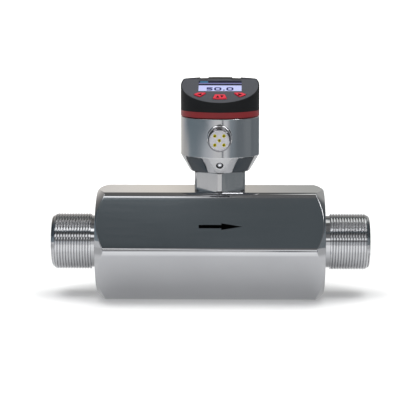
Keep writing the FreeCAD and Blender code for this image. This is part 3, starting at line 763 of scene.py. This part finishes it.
def makeConnectorShell(sizes, box):
    front = -box[0][1]
    back = -box[1][1]
    flangeRadius = (box[1][0] - box[0][0]) / 2
    flangeFront = front - sizes["reach"]
    bore = sizes["boreRadius"]
    outline = softenCorners([
        (bore, (front + back) / 2),
        (bore, back),
        (sizes["shankRadius"], back),
        (sizes["shankRadius"], flangeFront - sizes["flangeThickness"]),
        (flangeRadius, flangeFront - sizes["flangeThickness"]),
        (flangeRadius, flangeFront - sizes["flangeEdge"]),
        (flangeRadius - sizes["flangeEdge"], flangeFront),
        (sizes["rootRadius"], flangeFront),
        (sizes["rootRadius"], front - sizes["mouthRun"]),
        (sizes["mouthRadius"], front),
        (bore, front),
        (bore, (front * 2 + back) / 3),
    ], sizes["softEdge"])
    shell = turnedPiece("connectorBarrel", outline, materials["connectorMetal"], outOfFront)
    threadPlace = outOfFront @ Matrix.Translation((0, 0, flangeFront + sizes["neckLength"]))
    # the thread takes the connector's metal painted darker, a painted shade
    thread = makeThread("connectorThread", connectorThread, materials["connectorThreadMetal"], threadPlace)
    for piece in (shell, thread):
        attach(piece, "housing")
        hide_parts("connector_shell")


makeConnectorShell(connectorShell, connectorBox)
print("connector made")


# steel head housing: turned outside and bore, milled flats, seats for the connector and the vent screw
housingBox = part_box("head_housing")
headHousing = {
    "baseRadius": 16.0 * mm,
    "outerRadius": 21.0 * mm,
    "coneHeight": 8.5 * mm,
    "rimChamfer": 0.4 * mm,
    "shellSteps": 128,
    "holeSteps": 64,
    "neckHole": 10.05 * mm,
    "floorHeight": 5.0 * mm,
    "floorRadius": 14.2 * mm,
    "boreRadius": 18.6 * mm,
    "ledgeHeight": 11.2 * mm,
    "ledgeWidth": 1.6 * mm,
    "grooveRadius": 19.3 * mm,
    "grooveBelowTop": (2.15 * mm, 3.55 * mm),
    "flatTurn": 43.5,       # degrees from the front and from the back to each flat
    "flatFoot": 0.78 * mm,
    "flatHead": 0.6 * mm,
    "flatLip": 0.7 * mm,
    "spotFace": 19.8 * mm,
    "spotRadius": 6.65 * mm,
    "ventAbove": 4.2 * mm,
    "ventRadius": 1.9 * mm,
    "ventDepth": 0.8 * mm,
    "stemRadius": 0.92 * mm,
    "stemLength": 2.05 * mm,
    "drillFrom": 0.8,       # of the bore's radius
    "drillTo": 1.2,         # of the outer radius
    "sharpFrom": 18,
}
ventWasher = {
    "innerRadius": 1.25 * mm,
    "outerRadius": 1.88 * mm,
    "thickness": 0.2 * mm,
    "steps": 48,
}
coneLean = math.atan2(headHousing["outerRadius"] - headHousing["baseRadius"], headHousing["coneHeight"])
ventPlace = (
    Matrix.Translation((
        headX,
        -headHousing["baseRadius"] - headHousing["ventAbove"] * math.tan(coneLean),
        housingBox[0][2] + headHousing["ventAbove"],
    ))
    @ Matrix.Rotation(math.radians(90) + coneLean, 4, "X")
)


def cutAway(piece, cutter):
    modifier = piece.modifiers.new("cut", "BOOLEAN")
    modifier.operation = "DIFFERENCE"
    modifier.solver = "EXACT"
    modifier.object = cutter
    applyModifiers(piece)
    bpy.data.objects.remove(cutter)


def drill(radius, low, high, place):
    outline = [(0, low), (radius, low), (radius, high), (0, high)]
    return turnedPiece("drill", outline, materials["headSteel"], place, headHousing["holeSteps"])


def flatCutter(sizes, turn):   # block whose inner side mills one flat, leaning a little more than the cone
    run = sizes["coneHeight"] / math.cos(coneLean)
    lean = coneLean + math.atan2(sizes["flatFoot"] - sizes["flatHead"], run)
    wide = sizes["outerRadius"] * 2
    place = (
        Matrix.Translation((headX, 0, housingBox[0][2]))
        @ Matrix.Rotation(math.radians(turn), 4, "Z")
        @ Matrix.Translation((sizes["baseRadius"], 0, 0))
        @ Matrix.Rotation(lean, 4, "Y")
    )
    outline = rectangle(-sizes["flatFoot"], wide, -wide / 2, wide / 2)
    return prism("flatBlock", outline, -run, run - sizes["flatLip"], materials["headSteel"], place)


def makeHeadHousing(sizes):
    tall = housingBox[1][2] - housingBox[0][2]
    grooveHigh, grooveLow = [tall - below for below in sizes["grooveBelowTop"]]
    outline = [
        (sizes["neckHole"], 0),
        (sizes["baseRadius"], 0),
        (sizes["outerRadius"], sizes["coneHeight"]),
        (sizes["outerRadius"], tall - sizes["rimChamfer"]),
        (sizes["outerRadius"] - sizes["rimChamfer"], tall),
        (sizes["boreRadius"], tall),
        (sizes["boreRadius"], grooveHigh),
        (sizes["grooveRadius"], grooveHigh),
        (sizes["grooveRadius"], grooveLow),
        (sizes["boreRadius"], grooveLow),
        (sizes["boreRadius"], sizes["ledgeHeight"]),
        (sizes["boreRadius"] - sizes["ledgeWidth"], sizes["ledgeHeight"]),
        (sizes["floorRadius"], sizes["floorHeight"]),
        (sizes["neckHole"], sizes["floorHeight"]),
    ]
    place = Matrix.Translation((headX, 0, housingBox[0][2]))
    housing = turnedPiece("housingShell", outline, materials["headSteel"], place, sizes["shellSteps"])
    for middle in (90, 270):   # back and front, degrees from the outlet
        for side in (-1, 1):
            cutAway(housing, flatCutter(sizes, middle + side * sizes["flatTurn"]))
    inside = sizes["boreRadius"] * sizes["drillFrom"]
    outside = sizes["outerRadius"] * sizes["drillTo"]
    for hole in (
        (connectorShell["shankRadius"], inside, outside, outOfFront),
        (sizes["spotRadius"], sizes["spotFace"], outside, outOfFront),
        (sizes["ventRadius"], -sizes["ventDepth"], sizes["ventRadius"], ventPlace),
        (sizes["stemRadius"], -sizes["ventDepth"] - sizes["stemLength"], 0, ventPlace),
    ):
        cutAway(housing, drill(*hole))
    shade(housing.data, True, sizes["sharpFrom"])
    weightNormals(housing)
    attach(housing, "housing")
    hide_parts("head_housing")


def makeVentWasher(sizes):
    low = -headHousing["ventDepth"]
    outline = rectangle(sizes["innerRadius"], sizes["outerRadius"], low, low + sizes["thickness"])
    washer = turnedPiece("ventWasher", outline, materials["sealRubber"], ventPlace, sizes["steps"])
    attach(washer, "housing")


makeHeadHousing(headHousing)
makeVentWasher(ventWasher)
print("head housing and vent washer made")


# direction arrow on the upper front face of the body, in the face's own coordinates
flowArrow = {
    "left": -5.9 * mm,
    "neck": 6.0 * mm,
    "tip": 17.0 * mm,
    "middle": -2.2 * mm,     # above the face's middle line
    "barHeight": 1.9 * mm,
    "headHeight": 3.7 * mm,
}
upperFacePlace = (
    Matrix.Translation((0, 0, flowHeight))
    @ Matrix.Rotation(math.radians(60), 4, "X")
    @ Matrix.Translation((0, 0, meterBody["acrossFlats"] / 2))
)


def makeArrow(sizes):
    bar = sizes["barHeight"] / 2
    head = sizes["headHeight"] / 2
    level = sizes["middle"]
    outline = [
        (sizes["left"], level - bar), (sizes["neck"], level - bar), (sizes["neck"], level - head),
        (sizes["tip"], level), (sizes["neck"], level + head), (sizes["neck"], level + bar),
        (sizes["left"], level + bar),
    ]
    piece = thinPlate("flowArrow", outline, 0.0, materials["markBlack"], upperFacePlace)
    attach(piece, "root")


makeArrow(flowArrow)
print("arrow drawn")


# floor, surroundings and lamp
leastDepth = 0.001     # keeps straight sideways from dividing by nothing
studio = {
    "floorSize": 60.0,
    "floorDrop": 0.1 * mm,
    "floorRoughness": 0.9,
    "floorTone": (230, 230, 230),
    # the paper as mirrored in the metal is painted darker than it is seen, a painted shade in its reflection
    "mirroredTone": (188, 188, 188),
    # keeps the lit paper white, near the object and far from it
    "floorLift": (0.2, 0.90),
    "liftReach": (0.15, 1.2),
    # distance in metres from the object's length and lift, as mirrored in the metal: the paper glows only in
    # reflections, a painted reflection
    "halfLength": 0.085,
    "mirroredLift": [
        (0, 0.36), (0.045, 0.44), (0.06, 0.72), (0.085, 0.72), (0.11, 0.8), (0.27, 0.8), (0.3, 0.5),
        (1.2, 0.90),
    ],
    "brightestLift": 2.0,
    # that painted glow fades to these shares behind the object and beyond its ends, a painted shade in the
    # metal's reflections
    "behindFrom": (0.05, 0.09),
    "behindShare": 0.15,
    "besideFrom": (0.02, 0.1),
    "besideShare": 0.1,
    "brightest": {"sky": 2.2, "tint": 1.46},   # of the levels below
    # degrees above the horizon and colour
    "upperTint": [
        (0, (255, 255, 255)), (44, (255, 255, 255)), (48, (228, 246, 255)), (52, (232, 248, 255)),
        (55, (255, 255, 255)), (90, (255, 255, 255)),
    ],
    # degrees above the horizon and brightness, for the two halves of the front and of the back
    "frontLeft": [
        (0, 1.15), (3, 0.8), (8, 0.26), (13.5, 0.34), (18, 0.2), (23, 0.12), (26, 0.5), (28.5, 1.7),
        (35, 1.7), (38, 0.3), (40, 0.1), (45, 0.12), (50, 0.15), (53, 0.3), (55, 2.2), (65, 2.2),
        (67.5, 0.3), (90, 0.24),
    ],
    "frontRight": [
        (0, 0.9), (5, 0.75), (9.5, 0.38), (13, 0.12), (17, 0.9), (18.5, 1.7), (23, 1.7), (25, 0.4),
        (31, 0.28), (38, 0.26), (44, 0.16), (48, 0.17), (50, 0.16), (58, 0.2), (90, 0.24),
    ],
    "backLeft": [
        (0, 0.7), (12, 0.7), (17, 0.45), (32, 0.45), (41, 0.3), (49, 0.2), (58, 0.12), (66, 0.2),
        (90, 0.24),
    ],
    "backRight": [
        (0, 0.7), (12, 0.7), (20, 0.8), (32, 0.8), (36, 0.4), (41, 0.12), (50, 0.12), (53, 2.0), (74, 2.0),
        (78, 0.28), (90, 0.24),
    ],
    "sides": [
        (0, 1.0), (13, 1.0), (17, 0.42), (40, 0.42), (42, 0.85), (47, 0.85), (49, 0.11), (54, 0.14),
        (56, 2.2), (72, 2.2), (74, 0.14), (90, 0.14),
    ],
    "frontTurn": (-0.078, -0.012),  # how far right of straight ahead the left half fades to the right half
    "backTurn": (0.07, 0.14),
    "frontToBack": (-0.06, 0.06),
    "endsToSides": (0.8, 1.2),      # how far right or left of straight ahead or back
    "sideTintEnds": (52, 55),       # degrees above the horizon
    # degrees round the object, brightness and colour
    "backTint": [
        (-180, 0.98, (255, 248, 238)), (-178.2, 1.1, (255, 248, 238)), (-176.5, 1.46, (255, 248, 238)),
        (-175.3, 1.18, (255, 250, 244)), (-150, 1.1, (255, 250, 244)), (-136, 1.0, (255, 250, 244)),
        (136, 0.75, (255, 255, 252)), (177.2, 0.75, (255, 255, 250)), (179.3, 0.9, (255, 251, 245)),
        (180, 0.98, (255, 248, 238)),
    ],
    "sideTint": [
        (-180, 1.0, (238, 234, 226)), (-150, 1.0, (246, 240, 230)), (-124, 1.0, (190, 190, 188)),
        (-112, 1.0, (128, 142, 152)), (-62, 1.0, (124, 138, 148)), (-45, 1.0, (250, 250, 250)),
        (45, 1.0, (250, 250, 250)), (62, 1.0, (128, 136, 142)), (112, 1.0, (126, 134, 140)),
        (124, 1.0, (176, 180, 182)), (150, 1.0, (176, 180, 182)), (180, 1.0, (238, 234, 226)),
    ],
}
# the head's surroundings from straight ahead to the outlet side and on to the back, the same low and high
aroundHead = [
    (-13, (252, 252, 252)), (5, (255, 255, 255)), (7, (137, 142, 146)), (9, (137, 142, 146)),
    (11, (255, 255, 255)), (19, (250, 252, 255)), (27, (193, 196, 199)), (32, (166, 176, 183)),
    (44, (148, 156, 162)), (52, (134, 141, 146)), (66, (134, 141, 146)), (82, (148, 154, 158)),
    (98, (148, 154, 158)), (104, (132, 138, 143)), (125, (136, 142, 147)), (141, (124, 130, 135)),
    (180, (136, 142, 147)),
]
reflectors = {
    "distance": 0.34,
    "steps": 72,
    # low and high edge, then degrees round the object (0 faces the camera, plus is the outlet side)
    # and colour, once for the band's lower part and once for its upper part
    "neckBand": (0.0, 0.030, [
        (-180, (243, 244, 245)), (-30, (243, 244, 245)), (-18, (255, 255, 255)),
        (20, (255, 255, 255)), (34, (142, 149, 153)), (180, (142, 149, 153)),
    ], None),
    "headBand": (0.030, 0.078, [
        (-180, (232, 230, 226)), (-143, (228, 226, 222)), (-117, (216, 214, 212)), (-106, (207, 207, 208)),
        (-97, (168, 177, 184)), (-88, (152, 164, 171)), (-73, (148, 160, 168)), (-59, (168, 177, 184)),
        (-52, (190, 197, 203)), (-40, (222, 227, 232)), (-24, (238, 240, 244)), *aroundHead,
    ], [
        (-180, (232, 230, 226)), (-143, (228, 226, 222)), (-128, (208, 208, 210)), (-117, (176, 184, 190)),
        (-106, (137, 149, 157)), (-97, (134, 148, 156)), (-88, (136, 150, 158)), (-46, (138, 150, 158)),
        (-40, (150, 160, 168)), (-33, (180, 187, 193)), (-27, (208, 212, 218)), (-21, (226, 228, 232)),
        *aroundHead,
    ]),
    "upperFrom": (0.043, 0.060),
}
# small bright panel whose glint shows at the neck's foot
brightPanel = {
    "aimHeight": 0.058,
    "turn": 60,         # degrees round the object
    "rise": 45,         # degrees up
    "distance": 0.6,
    "width": 0.12,
    "height": 0.12,
    "strength": 10.0,
}
overheadLamp = {
    "height": 1.5,
    "size": 1.1,
    "power": 17.0,
}


def roundShare(tree, source, centreX=0.0):   # 0 to 1 once round, 0.5 towards the camera
    parts = separate(tree, source)
    across = mathNode(tree, "SUBTRACT", parts["X"], centreX)
    towards = mathNode(tree, "MULTIPLY", parts["Y"], -1.0)
    angle = mathNode(tree, "ARCTAN2", across, towards)
    return mathNode(tree, "MULTIPLY_ADD", angle, 0.5 / math.pi, 0.5), parts


def roundStops(stops):
    return [((degrees + 180) / 360, tone(*colour)) for degrees, colour in stops]


def addFloor(sizes):
    material, tree, shader = newMaterial("floorPaper")
    shader.inputs["Roughness"].default_value = sizes["floorRoughness"]
    shader.inputs["Specular IOR Level"].default_value = 0.0
    shader.inputs["Emission Color"].default_value = (1, 1, 1, 1)

    def times(first, second):
        return mathNode(tree, "MULTIPLY", first, second)

    path = tree.nodes.new("ShaderNodeLightPath").outputs
    mirrored = mathNode(tree, "MAXIMUM", path["Is Glossy Ray"], path["Is Transmission Ray"])
    # darker paper for reflections only: painted shade
    paper = mixColours(tree, mirrored, tone(*sizes["floorTone"]), tone(*sizes["mirroredTone"]))
    feed(tree, shader.inputs["Base Color"], paper)
    place = tree.nodes.new("ShaderNodeTexCoord").outputs["Object"]
    reach = addNode(tree, "ShaderNodeVectorMath", {0: place}, operation="LENGTH").outputs["Value"]
    seenLift = mapRange(tree, reach, *sizes["liftReach"], *sizes["floorLift"])
    x, y, z = separate(tree, place)
    past = mathNode(tree, "SUBTRACT", mathNode(tree, "ABSOLUTE", x), sizes["halfLength"])
    past = mathNode(tree, "MAXIMUM", past, 0.0)
    away = mathNode(tree, "SQRT", mathNode(tree, "ADD", times(past, past), times(y, y)))
    # glow that only the metal mirrors, a painted reflection, faded behind the object and beyond its ends as
    # painted shade
    farthest, brightest = sizes["mirroredLift"][-1][0], sizes["brightestLift"]
    stops = [(distance / farthest, [lift / brightest] * 3) for distance, lift in sizes["mirroredLift"]]
    mirroredLift = rampNode(tree, mathNode(tree, "DIVIDE", away, farthest), stops)
    behind = mapRange(tree, y, *sizes["behindFrom"], brightest, brightest * sizes["behindShare"])
    beside = mapRange(tree, past, *sizes["besideFrom"], 1.0, sizes["besideShare"])
    seen = times(path["Is Camera Ray"], seenLift)
    paintedReflectionGlow = times(times(mirrored, times(behind, beside)), mirroredLift)
    feed(tree, shader.inputs["Emission Strength"], mathNode(tree, "ADD", seen, paintedReflectionGlow))
    half = sizes["floorSize"] / 2
    vertices = [(x, y, -sizes["floorDrop"]) for x, y in rectangle(-half, half, -half, half)]
    floor = meshObject("floor", vertices, [(0, 1, 2, 3)], material, smooth=False)


def glowOnly(name):   # shines by itself and isn't lit
    material, tree, shader = newMaterial(name)
    glow = addNode(tree, "ShaderNodeEmission", {})
    tree.links.new(glow.outputs["Emission"], tree.nodes["Material Output"].inputs["Surface"])
    tree.nodes.remove(shader)
    return material, tree, glow


def hideFromAllButMirrors(piece):
    piece.visible_camera = False
    piece.visible_diffuse = False
    piece.visible_shadow = False


def addReflector(name, low, high, stops, upperStops):   # a band that only shows in the polished metal
    vertices = []
    steps = reflectors["steps"]
    for step in range(steps):
        angle = 2 * math.pi * step / steps
        x = headX + reflectors["distance"] * math.sin(angle)
        y = -reflectors["distance"] * math.cos(angle)
        vertices += [(x, y, low), (x, y, high)]
    faces = []
    for step in range(steps):
        after = (step + 1) % steps
        faces.append((2 * step, 2 * step + 1, 2 * after + 1, 2 * after))
    material, tree, glow = glowOnly(name)
    share, parts = roundShare(tree, tree.nodes.new("ShaderNodeTexCoord").outputs["Object"], headX)
    colour = rampNode(tree, share, roundStops(stops))
    if upperStops:
        upperShare = mapRange(tree, parts["Z"], *reflectors["upperFrom"])
        colour = mixColours(tree, upperShare, colour, rampNode(tree, share, roundStops(upperStops)))
    feed(tree, glow.inputs["Color"], colour)
    hideFromAllButMirrors(meshObject(name, vertices, faces, material))


def addBrightPanel(sizes):   # faces the neck's foot and only shows in the polished metal
    material, tree, glow = glowOnly("brightPanel")
    glow.inputs["Strength"].default_value = sizes["strength"]
    acrossHalf = sizes["width"] / 2
    upHalf = sizes["height"] / 2
    corners = [(x, y, 0) for x, y in rectangle(-acrossHalf, acrossHalf, -upHalf, upHalf)]
    place = (
        Matrix.Translation((headX, 0, sizes["aimHeight"]))
        @ Matrix.Rotation(math.radians(sizes["turn"]), 4, "Z")
        @ Matrix.Rotation(math.radians(90 - sizes["rise"]), 4, "X")
        @ Matrix.Translation((0, 0, sizes["distance"]))
    )
    panel = meshObject("brightPanel", corners, [(0, 1, 2, 3)], material, smooth=False, place=place)
    hideFromAllButMirrors(panel)


def addWorld(sizes):
    world = bpy.data.worlds.new("studio")
    scene.world = world
    world.use_nodes = True
    tree = world.node_tree
    background = tree.nodes["Background"]
    brightest = sizes["brightest"]
    share, parts = roundShare(tree, tree.nodes.new("ShaderNodeTexCoord").outputs["Generated"])
    across, ahead, up = parts
    rise = mathNode(tree, "ARCSINE", mathNode(tree, "MAXIMUM", up, 0.0))
    rise = mathNode(tree, "MULTIPLY", rise, 2 / math.pi)   # 1 is straight up
    depth = mathNode(tree, "MAXIMUM", mathNode(tree, "ABSOLUTE", ahead), leastDepth)
    turn = mathNode(tree, "DIVIDE", across, depth)

    def times(first, second):
        return mixColours(tree, 1.0, first, second, "MULTIPLY")

    upperStops = [(degrees / 90, tone(*colour)) for degrees, colour in sizes["upperTint"]]
    upperTint = rampNode(tree, rise, upperStops)
    skies = {}
    for key in ("frontLeft", "frontRight", "backLeft", "backRight", "sides"):
        stops = [(degrees / 90, [level / brightest["sky"]] * 3) for degrees, level in sizes[key]]
        skies[key] = times(rampNode(tree, rise, stops), upperTint)
    tints = {}
    for key in ("backTint", "sideTint"):
        stops = []
        for degrees, level, colour in sizes[key]:
            tinted = [part * level / brightest["tint"] for part in tone(*colour)[:3]]
            stops.append(((degrees + 180) / 360, tinted))
        tints[key] = rampNode(tree, share, stops)

    def untinted(colour):   # as dark as the tinted ones, which are a share of the brightest tint
        scale = {0: colour, "Scale": 1 / brightest["tint"]}
        return addNode(tree, "ShaderNodeVectorMath", scale, operation="SCALE").outputs["Vector"]

    def fade(source, ends, first, second):
        return mixColours(tree, mapRange(tree, source, *ends), first, second)

    front = fade(turn, sizes["frontTurn"], skies["frontLeft"], skies["frontRight"])
    back = fade(turn, sizes["backTurn"], skies["backLeft"], skies["backRight"])
    tintEnds = [degrees / 90 for degrees in sizes["sideTintEnds"]]
    tintedSides = times(skies["sides"], tints["sideTint"])
    sides = fade(rise, tintEnds, tintedSides, untinted(skies["sides"]))
    ends = fade(ahead, sizes["frontToBack"], untinted(front), times(back, tints["backTint"]))
    sky = fade(mathNode(tree, "ABSOLUTE", turn), sizes["endsToSides"], ends, sides)
    strength = brightest["sky"] * brightest["tint"]
    seen = tree.nodes.new("ShaderNodeLightPath").outputs["Is Camera Ray"]
    feed(tree, background.inputs["Color"], mixColours(tree, seen, sky, (*[1 / strength] * 3, 1)))
    background.inputs["Strength"].default_value = strength


def addOverheadLamp(sizes):
    data = bpy.data.lights.new("overheadLamp", "AREA")
    data.shape = "SQUARE"
    data.size = sizes["size"]
    data.energy = sizes["power"]
    lamp = bpy.data.objects.new("overheadLamp", data)
    scene.collection.objects.link(lamp)
    lamp.location = (0, 0, sizes["height"])
    lamp.visible_glossy = False


addFloor(studio)
addWorld(studio)
for bandName in ("neckBand", "headBand"):
    addReflector(bandName, *reflectors[bandName])
addBrightPanel(brightPanel)
addOverheadLamp(overheadLamp)
print("studio set")
